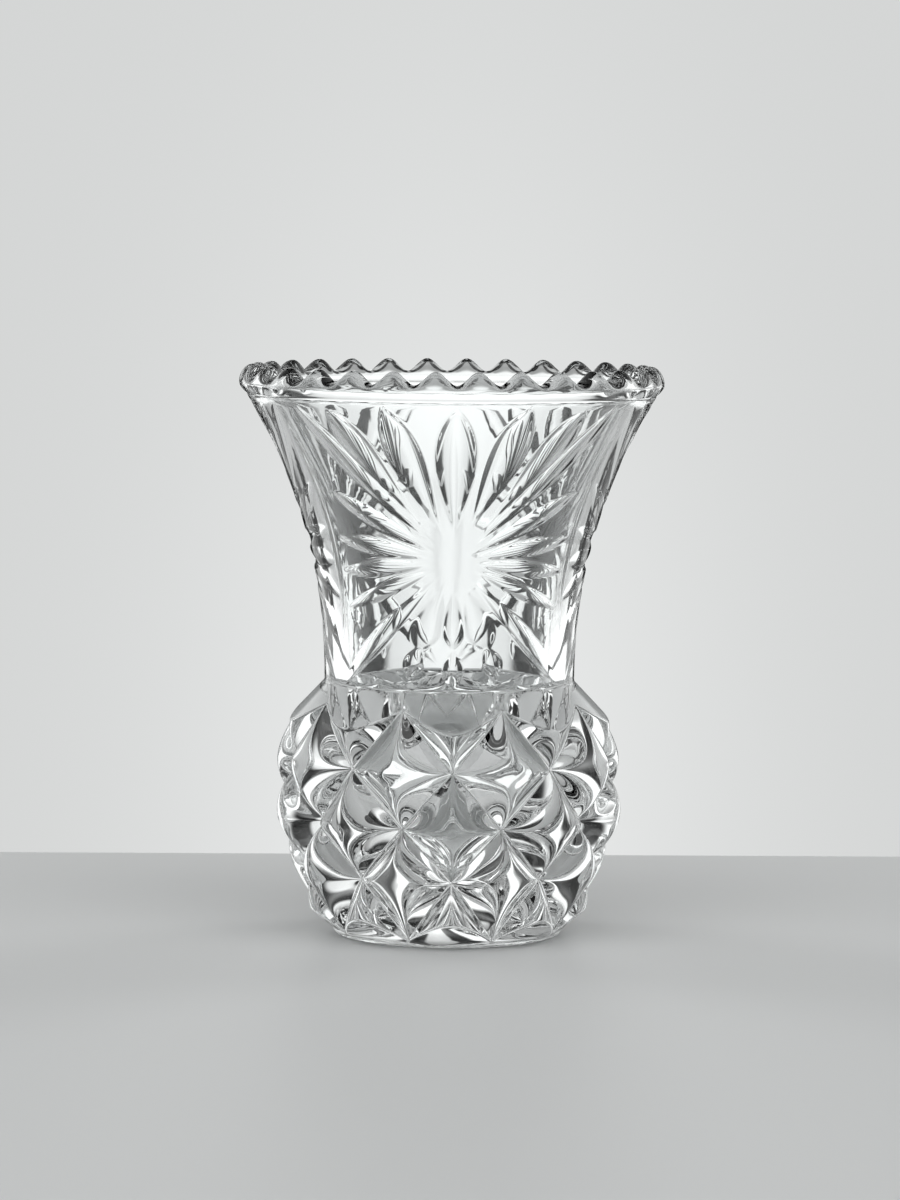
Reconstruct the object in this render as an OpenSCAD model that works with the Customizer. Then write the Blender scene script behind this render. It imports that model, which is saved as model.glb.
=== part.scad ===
// Pressed clear-glass vase: foot ring, bulb of diamond pyramids, flared neck with sunburst
// panels, and a lip with scalloped teeth. The vase stands on z = 0 with its axis on Z, and
// the middle of one panel faces -Y.

/* [Foot] */
// Radius of the flat ring that the vase stands on
foot_r = 24; // [21:0.5:26]
// Radius of the hollow under the vase
foot_hollow_r = 18; // [10:0.5:20]
// Height of the foot ring, and so the depth of the hollow
foot_h = 1.5; // [1:0.1:3]
// How far the ring's top edge stands out past its resting face
foot_flare = 1; // [0.2:0.1:2]

/* [Bulb] */
// Height of the bulb from the foot ring to the waist
bulb_h = 52; // [40:1:70]
// Radius of the bulb at the tips of its widest pyramids
bulb_r = 36.5; // [34:0.5:42]
// Radius of the waist, where the neck meets the bulb
waist_r = 26.5; // [24:0.5:29]
// Columns of pyramids round the bulb
pyramid_columns = 9; // [6:1:14]
// How rounded the pyramids are: 1 is a sharp point, more is a fuller cushion
pyramid_crown = 2.2; // [1:0.1:3]

/* [Neck] */
// Height of the neck from the waist to the top line of its panels
neck_h = 60.5; // [45:0.5:80]
// Radius of the neck at the top line of its panels
neck_top_r = 43.4; // [36:0.2:50]
// How late the neck flares: 1 is a plain cone, more keeps it straight for longer
flare_power = 2.15; // [1.2:0.05:3]

/* [Sunbursts] */
// Height of each sunburst's middle above the waist
hub_h = 27.2; // [22:0.2:34]
// Radius of the plain round middle of each sunburst
hub_r = 5; // [3:0.5:8]
// Width of a plain ray; each ray takes its own share of it
ray_w = 5; // [3:0.2:6]
// Depth of a plain ray; each ray takes its own share of it
ray_depth = 0.65; // [0.3:0.05:1.5]
// Distance from the sunburst's middle to the tips of the drops that end the lowest rays
drop_reach = 26.2; // [20:0.2:32]
// Length of a drop
drop_l = 8; // [4:0.2:10]
// Width of a drop
drop_w = 3.8; // [2:0.2:6]
// Depth of a drop
drop_depth = 1; // [0.3:0.1:1.8]
// Width of the tall flute between two sunbursts
divider_w = 8.6; // [4:0.2:10]
// Depth of the tall flute between two sunbursts
divider_depth = 0.35; // [0.2:0.05:1.2]
// Plain band that the flutes leave at the waist
waist_band = 0.8; // [0.4:0.1:2]

/* [Lip] */
// Height of the lip from the panels' top line to the tips of its teeth
lip_h = 6; // [5:0.2:9]
// How far the lip stands out past the neck at its widest
lip_out = 1.3; // [0.5:0.1:3]
// Height above the panels' top line at which the lip is widest
lip_wide_h = 2.2; // [1.4:0.1:3]
// Thickness of the lip under its teeth
lip_t = 5.3; // [4:0.1:7]
// Number of teeth round the lip
tooth_count = 30; // [18:1:36]
// Depth of the valleys between the teeth
tooth_h = 2.7; // [1:0.1:3]

/* [Inside] */
// Thickness of the glass under the inside's floor, measured from the foot ring
floor_t = 17; // [6:0.5:24]
// Radius of the rounding between the floor and the wall
bore_round = 9; // [1:0.5:12]
// Thickness of the wall at the waist
waist_t = 5.3; // [4:0.1:7]
// How much narrower the inside is at its floor than at the waist
bore_taper = 6.7; // [2:0.1:8]
// Thickness of the wall at the panels' top line
neck_top_t = 4.8; // [3.6:0.1:6]

/* [Hidden] */

// Clear glass with the faint grey of a pressed piece
glass = [0.86, 0.89, 0.90];

// Heights of the joints between the four zones
waist_z = foot_h + bulb_h;
panel_top_z = waist_z + neck_h;
lip_wide_z = panel_top_z + lip_wide_h;
tooth_tip_z = panel_top_z + lip_h;
hub_z = waist_z + hub_h;

// Levels of the pyramids from the shoulder down to the foot: their heights as shares of the
// bulb's height, the radius of the crossing grooves and of the tips as shares of bulb_r
level_z_share = [0.933, 0.690, 0.460, 0.244, 0];
groove_r_share = [0.822, 0.863, 0.816, 0.775, 0.685];
tip_r_share = [0.905, 1, 1, 0.912, 0.77];
level_count = len(level_z_share) - 1;
// How sharp the ridges between the four sides of a pyramid are
ridge_power = 4;
// How fast the plain shoulder and the plain foot band widen, outwards for each step along Z
shoulder_slope = 0.95;
foot_band_slope = 1.15;
foot_edge_r = foot_r + foot_flare;

// Radii of the inside and of the lip
bore_waist_r = waist_r - waist_t;
bore_floor_r = bore_waist_r - bore_taper;
bore_top_r = neck_top_r - neck_top_t;
lip_r = neck_top_r + lip_out;

// Facets of the moulded surfaces
pyramid_steps = 4;
neck_columns = 120;
neck_rows = 32;
tooth_steps = 6;
lip_steps = 5;
bore_rows = 6;
round_rows = 3;
bulb_columns = 2 * pyramid_columns * pyramid_steps;
lip_columns = tooth_count * tooth_steps;

// Rays of one half of a sunburst, from straight up to straight down: direction, length as a
// share of the neck's height, width as a share of ray_w, how far out the widest place is, and
// depth as a share of ray_depth
panel_count = 3;
panel_angle = 360 / panel_count;
ray_angles = [0, 24, 40, 47.5, 62.5, 80.5, 96, 113.5, 136, 159, 180];
ray_length_share = [0.585, 0.64, 0.74, 0.88, 0.54, 0.46, 0.43, 0.44, 0.62, 0.46, 0.435];
ray_width_share = [1.8, 1.5, 1.2, 0.8, 0.75, 0.8, 0.8, 0.7, 0.85, 1.4, 1];
ray_fullness_share = [1.5, 1.7, 2.2, 1.2, 1.2, 1.2, 1.2, 1.2, 1.3, 1.9, 2];
ray_depth_share = [1.3, 1.4, 1.4, 1, 1, 0.9, 0.9, 0.9, 1, 0.9, 0.9];
drop_angles = [159, 180];
drop_fullness = 1.3;
// How flat the bottoms of the flutes are: 2 is a plain bow, more is flatter
flute_power = 2.4;

degree = PI / 180;

// Point at an angle from the front (-Y), a radius and a height
function around(angle, r, z) = [r * sin(angle), -r * cos(angle), z];

// Value of a table at a level that may lie between two of its entries, on a smooth curve
function at_level(table, level) =
    let (
        i = min(floor(level), level_count - 1),
        t = level - i,
        b = table[i],
        c = table[i + 1],
        a = i > 0 ? table[i - 1] : 2 * b - c,
        d = i < level_count - 1 ? table[i + 2] : 2 * c - b
    )
    b + t / 2 * (c - a + t * (2 * a - 5 * b + 4 * c - d + t * (3 * (b - c) + d - a)));

function level_z(level) = foot_h + bulb_h * at_level(level_z_share, level);

// Height of a cushion over one diagonal of the lattice, from 0 in a groove to 1 midway
function cushion(place) = 1 - pow(abs(2 * (place - floor(place)) - 1), pyramid_crown);

// Lower of two cushions, with a soft ridge where they meet
function ridge(along, across) =
    along <= 0 || across <= 0 ? 0 :
    pow(2 / (pow(along, -ridge_power) + pow(across, -ridge_power)), 1 / ridge_power);

// Radius of the pyramid pattern: grooves cross where column plus level is odd, and the
// pyramids' tips lie halfway between
function pyramid_r(column, level) =
    let (
        rise = ridge(cushion((level + column - 1) / 2), cushion((level - column - 1) / 2)),
        groove = bulb_r * at_level(groove_r_share, level),
        tip = bulb_r * at_level(tip_r_share, level)
    )
    groove + (tip - groove) * rise;

function shoulder_r(z) = waist_r + shoulder_slope * (waist_z - z);
function foot_band_r(z) = foot_edge_r + foot_band_slope * (z - foot_h);

function bulb_out_r(column, level) =
    let (z = level_z(level))
    min(pyramid_r(column, level), shoulder_r(z), foot_band_r(z));

// Radius of the neck before its flutes are cut
flare_r = neck_top_r - waist_r;
function neck_share(z) = max(0, (z - waist_z) / neck_h);
function neck_r(z) = waist_r + flare_r * pow(neck_share(z), flare_power);

// Length along the neck's wall from the waist up to a height
bow = pow(flare_r * flare_power, 2) / (2 * neck_h * (2 * flare_power - 1));
function slant(z) = z - waist_z + bow * pow(neck_share(z), 2 * flare_power - 1);

// Depth of a pointed, round-bottomed flute at a place along and across it
function flute_cut(along, across, start, reach, half_w, depth, fullness) =
    let (u = (along - start) / (reach - start))
    u <= 0 || u >= 1 ? 0 :
    let (
        v = 2 * pow(u, fullness) - 1,
        open_share = 1 - v * v,
        t = abs(across) / (half_w * open_share)
    )
    max(0, depth * open_share * (1 - pow(t, flute_power)));

function ray_cut(i, x, y) =
    let (
        a = ray_angles[i],
        reach = neck_h * ray_length_share[i],
        half_w = ray_w * ray_width_share[i] / 2
    )
    flute_cut(
        x * sin(a) + y * cos(a), x * cos(a) - y * sin(a), hub_r, reach, half_w,
        ray_depth * ray_depth_share[i], ray_fullness_share[i]);

function drop_cut(a, x, y) =
    flute_cut(
        x * sin(a) + y * cos(a), x * cos(a) - y * sin(a), drop_reach - drop_l, drop_reach,
        drop_w / 2, drop_depth, drop_fullness);

// Depth cut from the neck at an angle from the front and a height
function neck_cut(angle, z) =
    let (
        turn = abs(angle - panel_angle * round(angle / panel_angle)),
        x = neck_r(z) * turn * degree,
        y = slant(z) - slant(hub_z),
        side = neck_r(z) * (panel_angle / 2 - turn) * degree,
        divider = flute_cut(
            slant(z), side, waist_band, slant(panel_top_z), divider_w / 2, divider_depth, 1)
    )
    max(
        divider,
        max([for (i = [0 : len(ray_angles) - 1]) ray_cut(i, x, y)]),
        max([for (a = drop_angles) drop_cut(a, x, y)]));

// Radius of the inside at a height, from its rounded floor to the panels' top line
floor_z = foot_h + floor_t;
function bore_r(z) =
    z > waist_z
        ? bore_waist_r + (bore_top_r - bore_waist_r) * pow(neck_share(z), flare_power)
        : bore_floor_r + (bore_waist_r - bore_floor_r) * (z - floor_z) / (waist_z - floor_z);

// Faces of the band between two neighbouring rings; flip chooses the other diagonal
function band_faces(low, high, columns, flip) = [
    for (j = [0 : columns - 1])
    let (
        k = (j + 1) % columns,
        a = low * columns + j,
        b = high * columns + j,
        c = high * columns + k,
        d = low * columns + k
    )
    each (flip[j % len(flip)] ? [[a, b, d], [b, c, d]] : [[a, b, c], [a, c, d]])
];

function join(lists) = [for (list = lists) each list];

// Solid whose surface runs through rings of points and back to the first ring
module ring_tube(rings) {
    count = len(rings);
    polyhedron(
        points = join(rings),
        faces = join([
            for (i = [0 : count - 1]) band_faces(i, (i + 1) % count, len(rings[0]), [false])
        ]),
        convexity = 8);
}

// Solid whose surface runs through rings of points and is closed by a flat face at each end
module ring_stack(rings, flips) {
    columns = len(rings[0]);
    count = len(rings);
    start = [for (j = [0 : columns - 1]) j];
    end = [for (j = [columns - 1 : -1 : 0]) (count - 1) * columns + j];
    polyhedron(
        points = join(rings),
        faces = concat(
            [start, end],
            join([for (i = [0 : count - 2]) band_faces(i, i + 1, columns, flips[i])])),
        convexity = 8);
}

function round_ring(r, z, columns) =
    [for (j = [0 : columns - 1]) around(360 * j / columns, r, z)];

// Rings of the inside's wall from the waist down to its rounded floor
function bulb_bore_rings(columns) = concat(
    [
        for (i = [0 : bore_rows])
        let (z = waist_z - (waist_z - floor_z - bore_round) * i / bore_rows)
        round_ring(bore_r(z), z, columns)
    ],
    [
        for (i = [1 : round_rows])
        let (
            turn = 90 * i / round_rows,
            r = bore_r(floor_z + bore_round) - bore_round * (1 - cos(turn))
        )
        round_ring(r, floor_z + bore_round * (1 - sin(turn)), columns)
    ]);

// Flat ring that the vase rests on
module foot_ring() {
    color(glass)
    rotate_extrude($fn = 96)
    polygon([
        [foot_hollow_r, 0],
        [foot_r, 0],
        [foot_edge_r, foot_h],
        [foot_hollow_r, foot_h]
    ]);
}

// Bulb of diamond pyramids, open at the waist
module bulb() {
    rows = level_count * pyramid_steps;
    out_rings = [
        for (i = [rows : -1 : 0])
        let (level = i / pyramid_steps)
        [
            for (j = [0 : bulb_columns - 1])
            around(
                360 * j / bulb_columns, bulb_out_r(j / pyramid_steps, level), level_z(level))
        ]
    ];
    lattice_flips = [
        for (i = [rows - 1 : -1 : 0])
        [
            for (j = [0 : 2 * pyramid_steps - 1])
            (floor(i / pyramid_steps) + floor(j / pyramid_steps)) % 2 == 1
        ]
    ];
    rings = concat(
        out_rings, [round_ring(waist_r, waist_z, bulb_columns)], bulb_bore_rings(bulb_columns));
    plain_flips = [for (i = [0 : len(rings) - rows - 1]) [false]];
    color(glass)
    ring_stack(rings, concat(lattice_flips, plain_flips));
}

// Flared neck with three sunburst panels and a tall flute between each two
module neck() {
    out_rings = [
        for (i = [0 : neck_rows])
        let (z = waist_z + neck_h * i / neck_rows)
        [
            for (j = [0 : neck_columns - 1])
            let (angle = 360 * j / neck_columns)
            around(angle, neck_r(z) - neck_cut(angle, z), z)
        ]
    ];
    bore_rings = [
        for (i = [bore_rows : -1 : 0])
        let (z = waist_z + neck_h * i / bore_rows)
        round_ring(bore_r(z), z, neck_columns)
    ];
    color(glass)
    ring_tube(concat(out_rings, bore_rings));
}

// Rounded lip with scalloped teeth
module lip() {
    crest_r = lip_r - lip_t * 0.6;
    inner_r = lip_r - lip_t;
    function crest_z(angle) =
        tooth_tip_z - tooth_h * (1 + cos(tooth_count * angle)) / 2;
    function lip_ring(r, turn) = [
        for (j = [0 : lip_columns - 1])
        let (
            angle = 360 * j / lip_columns,
            z = lip_wide_z + (crest_z(angle) - lip_wide_z) * sin(turn)
        )
        around(angle, r, z)
    ];
    outer = [
        for (i = [0 : lip_steps])
        let (turn = 90 * i / lip_steps)
        lip_ring(crest_r + (lip_r - crest_r) * cos(turn), turn)
    ];
    inner = [
        for (i = [lip_steps - 1 : -1 : 0])
        let (turn = 90 * i / lip_steps)
        lip_ring(crest_r - (crest_r - inner_r) * cos(turn), turn)
    ];
    color(glass)
    ring_tube(concat(
        [round_ring(neck_top_r, panel_top_z, lip_columns)],
        outer,
        inner,
        [round_ring(bore_top_r, panel_top_z, lip_columns)]));
}

foot_ring();
bulb();
neck();
lip();
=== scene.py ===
"""Clear pressed-glass vase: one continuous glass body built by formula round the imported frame."""
import math

import bpy
import numpy as np
from mathutils import Matrix, Vector

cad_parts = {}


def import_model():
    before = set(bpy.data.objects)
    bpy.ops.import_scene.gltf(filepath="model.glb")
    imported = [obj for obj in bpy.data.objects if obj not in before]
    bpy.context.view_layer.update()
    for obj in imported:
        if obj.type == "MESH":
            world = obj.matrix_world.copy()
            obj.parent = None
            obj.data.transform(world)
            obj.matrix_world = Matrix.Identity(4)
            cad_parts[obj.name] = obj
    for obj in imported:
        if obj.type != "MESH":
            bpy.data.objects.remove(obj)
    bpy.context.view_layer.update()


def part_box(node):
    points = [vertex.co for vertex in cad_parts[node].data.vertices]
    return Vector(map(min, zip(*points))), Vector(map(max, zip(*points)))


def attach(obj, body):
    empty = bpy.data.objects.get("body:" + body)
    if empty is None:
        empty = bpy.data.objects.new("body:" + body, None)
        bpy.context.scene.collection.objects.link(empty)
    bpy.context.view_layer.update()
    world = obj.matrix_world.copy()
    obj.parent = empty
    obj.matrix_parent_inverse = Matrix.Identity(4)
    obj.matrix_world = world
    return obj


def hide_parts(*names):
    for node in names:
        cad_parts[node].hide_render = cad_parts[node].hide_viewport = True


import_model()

# The vase's lengths are in millimetres until its mesh is made
MM = 0.001

# Heights of the four zones and the largest radii, from the frame
FOOT_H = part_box("foot_ring")[1].z / MM
WAIST_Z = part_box("neck")[0].z / MM
PANEL_TOP_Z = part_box("lip")[0].z / MM
TOOTH_TIP_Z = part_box("lip")[1].z / MM
FOOT_EDGE_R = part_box("foot_ring")[1].x / MM
NECK_TOP_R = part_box("neck")[1].x / MM
LIP_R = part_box("lip")[1].x / MM
BULB_H = WAIST_Z - FOOT_H
NECK_H = PANEL_TOP_Z - WAIST_Z

# Foot: a flat ring to rest on, with a rounded outer edge and a flare above it
FOOT_FLARE = 1.0
FLARE_STEP = 0.45
FLARE_STEP_Z = 0.9
FOOT_ROUND = 0.45
FOOT_ROUND_ANGLE = 75

# Shallow hollow under the foot, and three steps out from its edge: a bevel, the start of the
# flat ring and the first full row of the flat ring
HOLLOW_R = 18.0
HOLLOW_ROUND = 1.2
HOLLOW_EDGE_Z = 0.3
HOLLOW_BEVEL = 0.1
HOLLOW_BEVEL_Z = 0.12
FLAT_START = 0.35
FLAT_INSET = 1.0

# Bulb: levels run from the shoulder down to the foot
BULB_R = 36.5
WAIST_R = 26.5
PYRAMID_COLUMNS = 9
LEVEL_Z_SHARE = np.array([0.933, 0.690, 0.460, 0.244, 0.0])
GROOVE_R_SHARE = np.array([0.822, 0.863, 0.816, 0.775, 0.685])
TIP_R_SHARE = np.array([0.905, 1.0, 1.0, 0.912, 0.77])
PYRAMID_CROWN = 2.2
RIDGE_POWER = 4
SHOULDER_SLOPE = 0.95
FOOT_BAND_SLOPE = 1.15
EDGE_SOFT = 0.25

# Shares that keep the formulas of the pyramids and flutes from dividing by zero, and the half
# widths past which a flute's formula is held
LEAST_RISE_SHARE = 1e-3
LEAST_OPEN_SHARE = 1e-4
FLUTE_LIMIT_SHARE = 3

# Neck: ray angles are in degrees from straight up, for one half of a sunburst
FLARE_POWER = 2.15
HUB_Z = WAIST_Z + 27.2
HUB_R = 3.5
PANEL_ANGLE = 120.0
RAY_ANGLES = [0, 24, 40, 47.5, 62.5, 80.5, 96, 113.5, 136, 159, 180]
RAY_LENGTH_SHARE = [0.585, 0.64, 0.74, 0.88, 0.54, 0.46, 0.43, 0.44, 0.62, 0.34, 0.31]
RAY_WIDTH_SHARE = [1.8, 1.5, 1.2, 0.8, 0.75, 0.8, 0.8, 0.7, 0.85, 1.4, 1.0]
RAY_FULLNESS_SHARE = [1.5, 1.7, 2.2, 1.2, 1.2, 1.2, 1.2, 1.2, 1.3, 1.9, 2.0]
RAY_DEPTH_SHARE = [1.3, 1.4, 1.4, 1.0, 1.0, 0.9, 0.9, 0.9, 1.0, 0.75, 0.75]
RAY_W = 5.0
RAY_DEPTH = 0.65
DROP_ANGLES = [159, 180]
DROP_START = 18.4
DROP_REACH = 26.4
DROP_W = 4.4
DROP_DEPTH = 0.55
DROP_FULLNESS = 1.3
DIVIDER_W = 8.6
DIVIDER_DEPTH = 0.35
DIVIDER_FULLNESS = 1
WAIST_BAND = 0.8
FLUTE_POWER = 2.4
FLUTE_SOFT = 0.15

# Lip
LIP_WIDE_Z = PANEL_TOP_Z + 2.2
LIP_T = 5.3
CREST_SHARE = 0.6
TOOTH_COUNT = 30
TOOTH_H = 2.7

# Inside
FLOOR_Z = FOOT_H + 17.0
BORE_FLOOR_R = 14.5
BORE_ROUND = 9.0
BORE_WAIST_R = 21.2
BORE_TOP_R = 38.6

# Mesh density: one column for every half degree, and rows of rings for each stretch
COLUMNS = 720
TURNS = np.arange(COLUMNS) * 360.0 / COLUMNS
HOLLOW_MIDDLE_R = 2.0
HOLLOW_ROWS = 10
HOLLOW_ROUND_ROWS = 6
FLAT_ROWS = 6
FOOT_ROUND_ROWS = 4
LEVEL_ROWS = 40
SHOULDER_ROWS = 10
NECK_ROWS = 200
LIP_UNDER_ROWS = 8
LIP_ROWS = 24
BORE_ROWS = 60
BORE_ROUND_ROWS = 12
FLOOR_MIDDLE_R = 1.5
FLOOR_ROWS = 8


def soft_min(a, b, width):
    """Smaller of two values, blended over a width where they cross."""
    h = np.clip(0.5 + 0.5 * (b - a) / width, 0, 1)
    return b + (a - b) * h - width * h * (1 - h)


def soft_max(a, b, width):
    """Larger of two values, blended over a width where they cross."""
    return -soft_min(-a, -b, width)


def ring(r, z):
    """Ring of points on every column, from radii and heights that may change round it."""
    a = np.radians(TURNS)
    r = np.broadcast_to(r, a.shape)
    z = np.broadcast_to(z, a.shape)
    return np.stack([r * np.sin(a), -r * np.cos(a), z], axis=1)


def at_level(table, level):
    """Value of a table at a level that may lie between two entries, on a smooth curve."""
    i = min(int(level), len(table) - 2)
    t = level - i
    b, c = table[i], table[i + 1]
    a = table[i - 1] if i > 0 else 2 * b - c
    d = table[i + 2] if i + 2 < len(table) else 2 * c - b
    return b + t / 2 * (c - a + t * (2 * a - 5 * b + 4 * c - d + t * (3 * (b - c) + d - a)))


def level_z(level):
    return FOOT_H + BULB_H * at_level(LEVEL_Z_SHARE, level)


def pyramid_r(column, level):
    """Radius of the pyramid pattern; grooves cross where column plus level is odd."""
    p = (level + column - 1) / 2
    q = (level - column - 1) / 2
    along = np.maximum(1 - np.abs(2 * (p - np.floor(p)) - 1) ** PYRAMID_CROWN, LEAST_RISE_SHARE)
    across = np.maximum(1 - np.abs(2 * (q - np.floor(q)) - 1) ** PYRAMID_CROWN, LEAST_RISE_SHARE)
    rise = (2 / (along ** -RIDGE_POWER + across ** -RIDGE_POWER)) ** (1 / RIDGE_POWER)
    groove = BULB_R * at_level(GROOVE_R_SHARE, level)
    tip = BULB_R * at_level(TIP_R_SHARE, level)
    return groove + (tip - groove) * rise


def shoulder_r(z):
    return WAIST_R + SHOULDER_SLOPE * (WAIST_Z - z)


def bulb_ring(level):
    """Ring of the bulb's surface at a level between the shoulder and the foot."""
    z = level_z(level)
    column = TURNS * PYRAMID_COLUMNS * 2 / 360
    r = pyramid_r(column, level)
    r = soft_min(r, shoulder_r(z), EDGE_SOFT)
    r = soft_min(r, FOOT_EDGE_R + FOOT_BAND_SLOPE * (z - FOOT_H), EDGE_SOFT)
    return ring(r, z)


def neck_share(z):
    return np.clip((z - WAIST_Z) / NECK_H, 0, None)


def neck_r(z):
    return WAIST_R + (NECK_TOP_R - WAIST_R) * neck_share(z) ** FLARE_POWER


def slant(z):
    """Length along the neck's gently flared wall, from the waist up to a height."""
    bow = ((NECK_TOP_R - WAIST_R) * FLARE_POWER) ** 2 / (2 * NECK_H * (2 * FLARE_POWER - 1))
    return z - WAIST_Z + bow * neck_share(z) ** (2 * FLARE_POWER - 1)


def flute_cut(along, across, start, reach, width, depth, fullness):
    """Depth of a pointed round-bottomed flute at places along and across it."""
    u = np.clip((along - start) / (reach - start), 0, 1)
    open_share = np.maximum(1 - (2 * u ** fullness - 1) ** 2, LEAST_OPEN_SHARE)
    t = np.clip(np.abs(across / (width / 2 * open_share)), 0, FLUTE_LIMIT_SHARE)
    return depth * open_share * (1 - t ** FLUTE_POWER)


def ray_cut(x, y, angle, start, reach, width, depth, fullness):
    """Depth of a flute that points away from the hub at an angle from straight up."""
    a = math.radians(angle)
    along = x * math.sin(a) + y * math.cos(a)
    across = x * math.cos(a) - y * math.sin(a)
    return flute_cut(along, across, start, reach, width, depth, fullness)


def neck_cut(turn, z):
    """Depth that the divider, the rays and the drops take from the neck."""
    turn = np.abs(turn - PANEL_ANGLE * np.round(turn / PANEL_ANGLE))
    x = neck_r(z) * np.radians(turn)
    y = slant(z) - slant(HUB_Z)
    side = neck_r(z) * np.radians(PANEL_ANGLE / 2 - turn)
    cut = flute_cut(
        slant(z), side, WAIST_BAND, slant(PANEL_TOP_Z), DIVIDER_W, DIVIDER_DEPTH, DIVIDER_FULLNESS)
    cut = np.maximum(cut, 0)
    for angle, length, width, fullness, depth in zip(
            RAY_ANGLES, RAY_LENGTH_SHARE, RAY_WIDTH_SHARE, RAY_FULLNESS_SHARE, RAY_DEPTH_SHARE):
        ray = ray_cut(
            x, y, angle, HUB_R, NECK_H * length, RAY_W * width, RAY_DEPTH * depth, fullness)
        cut = soft_max(cut, ray, FLUTE_SOFT)
    for angle in DROP_ANGLES:
        drop = ray_cut(
            x, y, angle, DROP_START, DROP_REACH, DROP_W, DROP_DEPTH, DROP_FULLNESS)
        cut = soft_max(cut, drop, FLUTE_SOFT)
    return cut


def bore_r(z):
    above = BORE_WAIST_R + (BORE_TOP_R - BORE_WAIST_R) * neck_share(z) ** FLARE_POWER
    below = BORE_FLOOR_R + (BORE_WAIST_R - BORE_FLOOR_R) * (z - FLOOR_Z) / (WAIST_Z - FLOOR_Z)
    return np.where(z > WAIST_Z, above, below)


def foot_rings():
    """Rings from the middle of the hollow under the foot to just below the foot ring's top edge."""
    foot_r = FOOT_EDGE_R - FOOT_FLARE
    rings = []
    for r in np.linspace(HOLLOW_MIDDLE_R, HOLLOW_R - HOLLOW_ROUND, HOLLOW_ROWS):
        rings.append(ring(r, FOOT_H))
    for i in range(1, HOLLOW_ROUND_ROWS + 1):
        t = math.radians(90 * i / HOLLOW_ROUND_ROWS)
        r = HOLLOW_R - HOLLOW_ROUND + HOLLOW_ROUND * math.sin(t)
        rings.append(ring(r, FOOT_H - (FOOT_H - HOLLOW_EDGE_Z) * (1 - math.cos(t))))
    rings.append(ring(HOLLOW_R + HOLLOW_BEVEL, HOLLOW_BEVEL_Z))
    rings.append(ring(HOLLOW_R + FLAT_START, 0))
    for r in np.linspace(HOLLOW_R + FLAT_INSET, foot_r - FOOT_ROUND, FLAT_ROWS):
        rings.append(ring(r, 0))
    for i in range(1, FOOT_ROUND_ROWS + 1):
        t = math.radians(FOOT_ROUND_ANGLE * i / FOOT_ROUND_ROWS)
        r = foot_r - FOOT_ROUND + FOOT_ROUND * math.sin(t)
        rings.append(ring(r, FOOT_ROUND * (1 - math.cos(t))))
    rings.append(ring(foot_r + FLARE_STEP, FLARE_STEP_Z))
    return rings


def bulb_rings():
    last = len(LEVEL_Z_SHARE) - 1
    return [bulb_ring(last - i / LEVEL_ROWS) for i in range(last * LEVEL_ROWS + 1)]


def shoulder_rings():
    top = level_z(0)
    rings = []
    for i in range(1, SHOULDER_ROWS + 1):
        z = top + (WAIST_Z - top) * i / SHOULDER_ROWS
        rings.append(ring(shoulder_r(z), z))
    return rings


def neck_rings():
    rings = []
    for i in range(1, NECK_ROWS + 1):
        z = WAIST_Z + NECK_H * i / NECK_ROWS
        rings.append(ring(neck_r(z) - neck_cut(TURNS, z), z))
    return rings


def lip_rings():
    """Rings over the lip, from just above the panels to the lip's inner edge."""
    crest_r = LIP_R - LIP_T * CREST_SHARE
    inner_r = LIP_R - LIP_T
    crest_z = TOOTH_TIP_Z - TOOTH_H * (1 + np.cos(np.radians(TOOTH_COUNT * TURNS))) / 2
    rings = []
    for i in range(1, LIP_UNDER_ROWS):
        t = i / LIP_UNDER_ROWS
        r = NECK_TOP_R + (LIP_R - NECK_TOP_R) * math.sin(t * math.pi / 2)
        rings.append(ring(r, PANEL_TOP_Z + (LIP_WIDE_Z - PANEL_TOP_Z) * t))
    for i in range(2 * LIP_ROWS + 1):
        t = math.radians(90 * i / LIP_ROWS)
        reach = LIP_R - crest_r if i < LIP_ROWS else crest_r - inner_r
        z = LIP_WIDE_Z + (crest_z - LIP_WIDE_Z) * math.sin(t)
        rings.append(ring(crest_r + reach * math.cos(t), z))
    return rings


def bore_rings():
    """Rings from the panels' top line down the inside to the middle of its floor."""
    low = FLOOR_Z + BORE_ROUND
    low_r = float(bore_r(low))
    rings = []
    for i in range(BORE_ROWS + 1):
        z = PANEL_TOP_Z - NECK_H * i / BORE_ROWS
        rings.append(ring(bore_r(z), z))
    for i in range(1, BORE_ROWS + 1):
        z = WAIST_Z - (WAIST_Z - low) * i / BORE_ROWS
        rings.append(ring(bore_r(z), z))
    for i in range(1, BORE_ROUND_ROWS + 1):
        t = math.radians(90 * i / BORE_ROUND_ROWS)
        r = low_r - BORE_ROUND * (1 - math.cos(t))
        rings.append(ring(r, FLOOR_Z + BORE_ROUND * (1 - math.sin(t))))
    for r in np.linspace(low_r - BORE_ROUND, FLOOR_MIDDLE_R, FLOOR_ROWS)[1:]:
        rings.append(ring(r, FLOOR_Z))
    return rings


def band_triangles(row, flip):
    """Triangles from one ring to the next; flip picks the squares cut on the other diagonal."""
    here = np.arange(COLUMNS)
    after = (here + 1) % COLUMNS
    a, b = row * COLUMNS + here, (row + 1) * COLUMNS + here
    c, d = (row + 1) * COLUMNS + after, row * COLUMNS + after
    flip = flip[:, None]
    one = np.where(flip, np.stack([a, d, b], 1), np.stack([a, c, b], 1))
    two = np.where(flip, np.stack([b, d, c], 1), np.stack([a, d, c], 1))
    return [one, two]


def ridge_flip(row):
    """Which columns of a bulb row have squares cut along the ridge that runs the other way."""
    level = len(LEVEL_Z_SHARE) - 2 - row // LEVEL_ROWS
    column = np.arange(COLUMNS) * PYRAMID_COLUMNS * 2 // COLUMNS
    return (level + column) % 2 == 1


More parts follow.
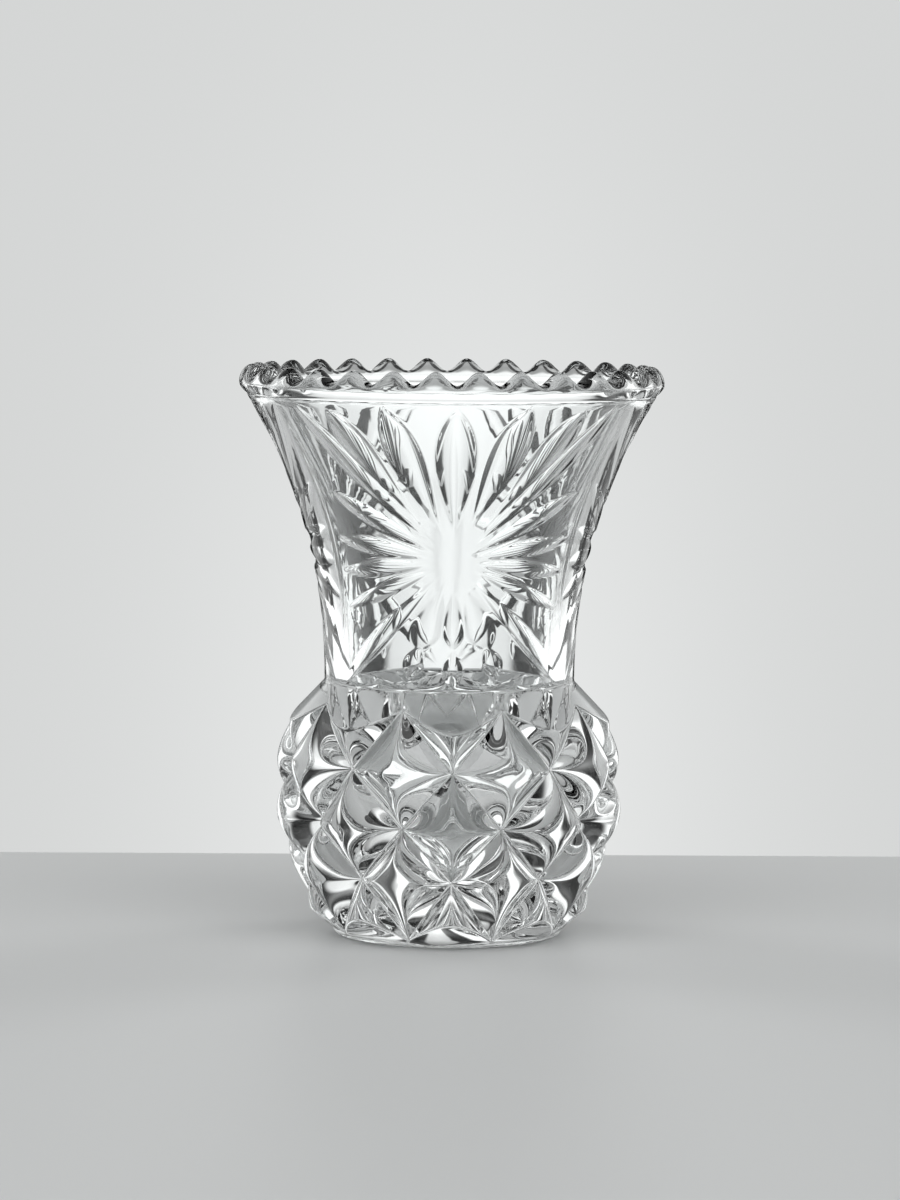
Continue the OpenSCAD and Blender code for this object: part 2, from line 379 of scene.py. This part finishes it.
def surface_triangles(row_count, bulb_start, bulb_rows):
    """Triangles of the closed surface, whose two middle points come after its rings."""
    here = np.arange(COLUMNS)
    after = (here + 1) % COLUMNS
    plain = np.zeros(COLUMNS, dtype=bool)
    triangles = []
    for row in range(row_count - 1):
        in_bulb = bulb_start <= row < bulb_start + bulb_rows - 1
        triangles += band_triangles(row, ridge_flip(row - bulb_start) if in_bulb else plain)
    under, inside = row_count * COLUMNS, row_count * COLUMNS + 1
    last = (row_count - 1) * COLUMNS
    triangles.append(np.stack([np.full(COLUMNS, under), after, here], 1))
    triangles.append(np.stack([np.full(COLUMNS, inside), last + here, last + after], 1))
    return np.concatenate(triangles)


def glass_body():
    """The whole vase as one closed surface of rings."""
    foot, bulb = foot_rings(), bulb_rings()
    rings = foot + bulb + shoulder_rings() + neck_rings() + lip_rings() + bore_rings()
    points = np.concatenate(rings + [[[0, 0, FOOT_H], [0, 0, FLOOR_Z]]]) * MM
    triangles = surface_triangles(len(rings), len(foot), len(bulb))
    mesh = bpy.data.meshes.new("vase_glass")
    mesh.vertices.add(len(points))
    mesh.vertices.foreach_set("co", points.ravel())
    mesh.loops.add(triangles.size)
    mesh.loops.foreach_set("vertex_index", triangles.ravel().astype(np.int32))
    mesh.polygons.add(len(triangles))
    mesh.polygons.foreach_set("loop_start", np.arange(0, triangles.size, 3, dtype=np.int32))
    mesh.polygons.foreach_set("use_smooth", np.ones(len(triangles), dtype=bool))
    mesh.update(calc_edges=True)
    mesh.validate()
    body = bpy.data.objects.new("vase_glass", mesh)
    bpy.context.scene.collection.objects.link(body)
    return body


# Glass: lengths are in metres, noise scales are per metre, and each stop of a ramp is a noise
# level and a brightness
GLASS_COLOR = (0.975, 0.985, 0.985, 1)
GLASS_IOR = 1.52
RIPPLE_STRENGTH = 0.08
RIPPLE_DEPTH = 0.0004
BROAD_RIPPLE_SCALE = 90.0
BROAD_RIPPLE_DETAIL = 1
FINE_RIPPLE_SCALE = 320.0
FINE_RIPPLE_DETAIL = 2
FINE_RIPPLE_SHARE = 0.12
CLEAN_ROUGHNESS = 0.012
MARKED_ROUGHNESS = 0.03
SCUFFED_ROUGHNESS = 0.2
FINGER_MARK_SCALE = 35.0
FINGER_MARK_DETAIL = 3
FINGER_MARK_STOPS = [(0.5, 0.0), (0.7, 1.0)]
SCRATCH_SCALE = 900.0
SCRATCH_DETAIL = 4
SCRATCH_STOPS = [(0.42, 0.0), (0.6, 1.0)]
SCUFF_HEIGHT = 0.0006


def math_node(tree, operation, *values):
    """Output of a math node whose inputs are numbers or other nodes' outputs."""
    node = tree.nodes.new("ShaderNodeMath")
    node.operation = operation
    for socket, value in zip(node.inputs, values):
        if isinstance(value, bpy.types.NodeSocket):
            tree.links.new(value, socket)
        else:
            socket.default_value = value
    return node.outputs[0]


def grey_ramp(tree, value, stops):
    """Brightness along a ramp whose stops are shares of its length."""
    node = tree.nodes.new("ShaderNodeValToRGB")
    node.color_ramp.interpolation = "EASE"
    elements = node.color_ramp.elements
    for stop in stops[1:-1]:
        elements.new(stop[0])
    for element, (share, grey) in zip(elements, stops):
        element.position = share
        element.color = (grey, grey, grey, 1)
    tree.links.new(value, node.inputs["Fac"])
    return node.outputs["Color"]


def new_group(name, inputs, output):
    """Node group of numbers with named sockets; gives its tree, its input and its output node."""
    tree = bpy.data.node_groups.new(name, "ShaderNodeTree")
    for label in inputs:
        tree.interface.new_socket(label, in_out="INPUT", socket_type="NodeSocketFloat")
    tree.interface.new_socket(output, in_out="OUTPUT", socket_type="NodeSocketFloat")
    return tree, tree.nodes.new("NodeGroupInput"), tree.nodes.new("NodeGroupOutput")


def use_group(tree, group, values):
    """Group node in a material's tree, with its own values."""
    node = tree.nodes.new("ShaderNodeGroup")
    node.node_tree = group
    for label, value in values.items():
        node.inputs[label].default_value = value
    return node


def split_coordinate(tree, output):
    """The three parts of a texture coordinate."""
    coord = tree.nodes.new("ShaderNodeTexCoord")
    split = tree.nodes.new("ShaderNodeSeparateXYZ")
    tree.links.new(coord.outputs[output], split.inputs[0])
    return split.outputs


def object_noise(tree, scale, detail):
    """Noise through the object's own space, with its scale linked or set."""
    coord = tree.nodes.new("ShaderNodeTexCoord")
    noise = tree.nodes.new("ShaderNodeTexNoise")
    noise.inputs["Detail"].default_value = detail
    tree.links.new(coord.outputs["Object"], noise.inputs["Vector"])
    if isinstance(scale, bpy.types.NodeSocket):
        tree.links.new(scale, noise.inputs["Scale"])
    else:
        noise.inputs["Scale"].default_value = scale
    return noise.outputs["Fac"]


def chill_ripple_group():
    """Slow ripples that the cold mould leaves in pressed glass."""
    tree, start, end = new_group(
        "chill_ripple", ["Broad Scale", "Fine Scale", "Fine Share"], "Height")
    broad = object_noise(tree, start.outputs["Broad Scale"], BROAD_RIPPLE_DETAIL)
    fine = object_noise(tree, start.outputs["Fine Scale"], FINE_RIPPLE_DETAIL)
    height = math_node(tree, "MULTIPLY_ADD", fine, start.outputs["Fine Share"], broad)
    tree.links.new(height, end.inputs["Height"])
    return tree


def handling_marks_group():
    """Roughness with faint cloudy finger marks and fine scuffs near the resting plane."""
    tree, start, end = new_group(
        "handling_marks", ["Clean", "Marked", "Scuffed", "Scuff Height"], "Roughness")
    cloud_noise = object_noise(tree, FINGER_MARK_SCALE, FINGER_MARK_DETAIL)
    clouds = grey_ramp(tree, cloud_noise, FINGER_MARK_STOPS)
    height = split_coordinate(tree, "Object")["Z"]
    low = math_node(tree, "LESS_THAN", height, start.outputs["Scuff Height"])
    scratches = grey_ramp(tree, object_noise(tree, SCRATCH_SCALE, SCRATCH_DETAIL), SCRATCH_STOPS)
    scuff = math_node(tree, "MULTIPLY", low, scratches)
    spread = math_node(tree, "SUBTRACT", start.outputs["Marked"], start.outputs["Clean"])
    rough = math_node(tree, "MULTIPLY_ADD", clouds, spread, start.outputs["Clean"])
    rough = math_node(tree, "MULTIPLY_ADD", scuff, start.outputs["Scuffed"], rough)
    tree.links.new(rough, end.inputs["Roughness"])
    return tree


def clear_glass():
    mat = bpy.data.materials.new("clear_pressed_glass")
    mat.use_nodes = True
    tree = mat.node_tree
    shader = tree.nodes["Principled BSDF"]
    shader.inputs["Base Color"].default_value = GLASS_COLOR
    shader.inputs["IOR"].default_value = GLASS_IOR
    shader.inputs["Transmission Weight"].default_value = 1.0
    ripple = use_group(tree, chill_ripple_group(), {
        "Broad Scale": BROAD_RIPPLE_SCALE, "Fine Scale": FINE_RIPPLE_SCALE,
        "Fine Share": FINE_RIPPLE_SHARE})
    bump = tree.nodes.new("ShaderNodeBump")
    bump.inputs["Strength"].default_value = RIPPLE_STRENGTH
    bump.inputs["Distance"].default_value = RIPPLE_DEPTH
    tree.links.new(ripple.outputs["Height"], bump.inputs["Height"])
    tree.links.new(bump.outputs["Normal"], shader.inputs["Normal"])
    marks = use_group(tree, handling_marks_group(), {
        "Clean": CLEAN_ROUGHNESS, "Marked": MARKED_ROUGHNESS, "Scuffed": SCUFFED_ROUGHNESS,
        "Scuff Height": SCUFF_HEIGHT})
    tree.links.new(marks.outputs["Roughness"], shader.inputs["Roughness"])
    return mat


# Floor, in metres. It lies a hair below the foot and ends behind the vase, as a table would
FLOOR_REACH = 1.5
FLOOR_BACK_Y = 0.118
FLOOR_DROP = 0.0002
FLOOR_COLOR = (0.62, 0.63, 0.63, 1)
FLOOR_ROUGHNESS = 0.5


def floor_material():
    mat = bpy.data.materials.new("pale_floor")
    mat.use_nodes = True
    shader = mat.node_tree.nodes["Principled BSDF"]
    shader.inputs["Base Color"].default_value = FLOOR_COLOR
    shader.inputs["Roughness"].default_value = FLOOR_ROUGHNESS
    return mat


def floor():
    mesh = bpy.data.meshes.new("floor")
    corners = [
        (-FLOOR_REACH, -FLOOR_REACH, 0), (FLOOR_REACH, -FLOOR_REACH, 0),
        (FLOOR_REACH, FLOOR_BACK_Y, 0), (-FLOOR_REACH, FLOOR_BACK_Y, 0)]
    mesh.from_pydata(corners, [], [(0, 1, 2, 3)])
    obj = bpy.data.objects.new("floor", mesh)
    obj.location.z = -FLOOR_DROP
    bpy.context.scene.collection.objects.link(obj)
    mesh.materials.append(floor_material())


# Camera, in metres and degrees, with its sensor and lens in millimetres
VIEW_TURN = 1.5
VIEW_ROLL = 0.5
VIEW_DISTANCE = 0.993
EYE_Z = 0.155
AIM_Z = 0.0704
SENSOR_WIDTH = 36
LENS_LENGTH = 141.7

# Studio as the glass sees it, set against the photograph. Turns are in degrees from
# straight behind the vase as the camera looks at it, rises in degrees above the horizon, and
# each stop is a place and a brightness. A pale backdrop stands behind the vase, with a dark gap
# at each of its edges, then a white screen. All of it is darker well below the horizon and
# overhead
ROUND_STOPS = [
    (0, 0.85), (6.5, 0.79), (9, 0.0), (19, 0.0), (25, 1.2), (60, 1.2), (90, 0.5), (180, 0.3)]
RISE_STOPS = [(-90, 0.45), (-16, 0.45), (-8, 1.08), (10, 1.08), (45, 0.4), (90, 0.3)]
# Soft ceiling in front of the vase
CEILING_LEVEL = 1.8
CEILING_RISE = 58
CEILING_SPREAD = 18
CEILING_STOPS = [(0, 0.0), (70, 0.0), (110, 1.0), (180, 1.0)]
# Soft bright spot high on the backdrop and wider than it, which shows through the lip
UPPER_LEVEL = 0.45
UPPER_TURN = 14
UPPER_RISE = 8
UPPER_SPREAD = 6
# Backdrop as the camera sees it, and a glow on it behind the vase that the glass sees too
BACKDROP_LEVEL = 0.67
GLOW_LEVEL = 0.16
GLOW_TURN = 3.4
GLOW_RISE = -8
GLOW_SPREAD = 8
# Share of that light that falls on dull surfaces, and the faint tint of all of it
DULL_SHARE = 0.35
STUDIO_COLOR = (0.985, 1.0, 0.995, 1)

# Lamps for the dull surfaces, in metres and watts
LAMP_TARGET = (0, 0, 0.06)
TOP_LAMP_PLACE = (0, -0.9, 1.45)
TOP_LAMP_SIZE = (2.6, 1.3)
TOP_LAMP_POWER = 19
SIDE_LAMP_PLACE = (1.6, 1.2, 0.9)
SIDE_LAMP_SIZE = (0.8, 0.8)
SIDE_LAMP_POWER = 10


def turn_ramp(tree, turn, stops):
    """Brightness by turn, from straight behind the vase to straight in front of it."""
    return grey_ramp(tree, math_node(tree, "DIVIDE", turn, 180), [(a / 180, v) for a, v in stops])


def rise_ramp(tree, rise, stops):
    """Brightness by rise, from straight down to straight up."""
    share = math_node(tree, "DIVIDE", math_node(tree, "ADD", rise, 90), 180)
    return grey_ramp(tree, share, [((a + 90) / 180, v) for a, v in stops])


def distance_square(tree, value, middle, spread):
    """Square of a value's distance from a middle, in spreads."""
    away = math_node(tree, "DIVIDE", math_node(tree, "SUBTRACT", value, middle), spread)
    return math_node(tree, "MULTIPLY", away, away)


def fall_off(tree, square):
    return math_node(tree, "EXPONENT", math_node(tree, "MULTIPLY", square, -1))


def backdrop_spot(tree, turn, rise, level, turn_spread, middle_rise, rise_spread):
    """Soft bright spot straight behind the vase, at a height of its own."""
    square = math_node(
        tree, "ADD", distance_square(tree, turn, 0, turn_spread),
        distance_square(tree, rise, middle_rise, rise_spread))
    return math_node(tree, "MULTIPLY", level, fall_off(tree, square))


def studio_light(tree, turn, rise):
    """Brightness of the backdrop, the gaps, the screens and the ceiling round the vase."""
    screens = math_node(
        tree, "MULTIPLY", turn_ramp(tree, turn, ROUND_STOPS), rise_ramp(tree, rise, RISE_STOPS))
    ceiling = math_node(
        tree, "MULTIPLY",
        fall_off(tree, distance_square(tree, rise, CEILING_RISE, CEILING_SPREAD)),
        math_node(tree, "MULTIPLY", turn_ramp(tree, turn, CEILING_STOPS), CEILING_LEVEL))
    upper = backdrop_spot(tree, turn, rise, UPPER_LEVEL, UPPER_TURN, UPPER_RISE, UPPER_SPREAD)
    return math_node(tree, "ADD", math_node(tree, "ADD", screens, ceiling), upper)


def world():
    """Plain backdrop for the camera, the studio for the glass, and a share of it for the rest."""
    studio = bpy.data.worlds.new("studio")
    bpy.context.scene.world = studio
    studio.use_nodes = True
    tree = studio.node_tree
    background = tree.nodes["Background"]
    background.inputs["Color"].default_value = STUDIO_COLOR
    x, y, z = split_coordinate(tree, "Generated")
    turn = math_node(tree, "DEGREES", math_node(tree, "ARCTAN2", x, y))
    turn = math_node(tree, "ABSOLUTE", math_node(tree, "SUBTRACT", turn, VIEW_TURN))
    rise = math_node(tree, "DEGREES", math_node(tree, "ARCSINE", z))
    glow = backdrop_spot(tree, turn, rise, GLOW_LEVEL, GLOW_TURN, GLOW_RISE, GLOW_SPREAD)
    path = tree.nodes.new("ShaderNodeLightPath")
    direct = path.outputs["Is Camera Ray"]
    seen = math_node(tree, "MAXIMUM", direct, path.outputs["Is Glossy Ray"])
    seen = math_node(tree, "MAXIMUM", seen, path.outputs["Is Transmission Ray"])
    level = tree.nodes.new("ShaderNodeMix")
    tree.links.new(direct, level.inputs["Factor"])
    tree.links.new(studio_light(tree, turn, rise), level.inputs["A"])
    level.inputs["B"].default_value = BACKDROP_LEVEL
    level = math_node(tree, "ADD", level.outputs["Result"], glow)
    share = math_node(tree, "MULTIPLY_ADD", seen, 1 - DULL_SHARE, DULL_SHARE)
    tree.links.new(math_node(tree, "MULTIPLY", level, share), background.inputs["Strength"])


def lamp(name, place, size, power):
    """Soft rectangular lamp, aimed at the vase, that the glass neither mirrors nor shows."""
    data = bpy.data.lights.new(name, "AREA")
    data.shape = "RECTANGLE"
    data.size, data.size_y = size
    data.energy = power
    obj = bpy.data.objects.new(name, data)
    obj.location = place
    obj.rotation_mode = "QUATERNION"
    obj.rotation_quaternion = (Vector(LAMP_TARGET) - Vector(place)).to_track_quat("-Z", "Y")
    obj.visible_glossy = False
    obj.visible_transmission = False
    bpy.context.scene.collection.objects.link(obj)


def lamps():
    lamp("front_top_softbox", TOP_LAMP_PLACE, TOP_LAMP_SIZE, TOP_LAMP_POWER)
    x, y, z = SIDE_LAMP_PLACE
    for side in (-1, 1):
        lamp("side_softbox", (side * x, y, z), SIDE_LAMP_SIZE, SIDE_LAMP_POWER)


def camera():
    """Camera at the photograph's viewing angle: a little above the lip and turned a little."""
    turn = math.radians(VIEW_TURN)
    data = bpy.data.cameras.new("camera")
    data.sensor_width = SENSOR_WIDTH
    data.lens = LENS_LENGTH
    cam = bpy.data.objects.new("camera", data)
    bpy.context.scene.collection.objects.link(cam)
    place = Vector((-VIEW_DISTANCE * math.sin(turn), -VIEW_DISTANCE * math.cos(turn), EYE_Z))
    aim = Vector((0, 0, AIM_Z))
    facing = (aim - place).to_track_quat("-Z", "Y").to_matrix().to_4x4()
    roll = Matrix.Rotation(math.radians(VIEW_ROLL), 4, "Z")
    cam.matrix_world = Matrix.Translation(place) @ facing @ roll
    bpy.context.scene.camera = cam


bpy.context.scene.view_settings.view_transform = "Standard"
camera()
floor()
world()
lamps()

vase = glass_body()
vase.data.materials.append(clear_glass())
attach(vase, "root")
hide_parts("foot_ring", "bulb", "neck", "lip")
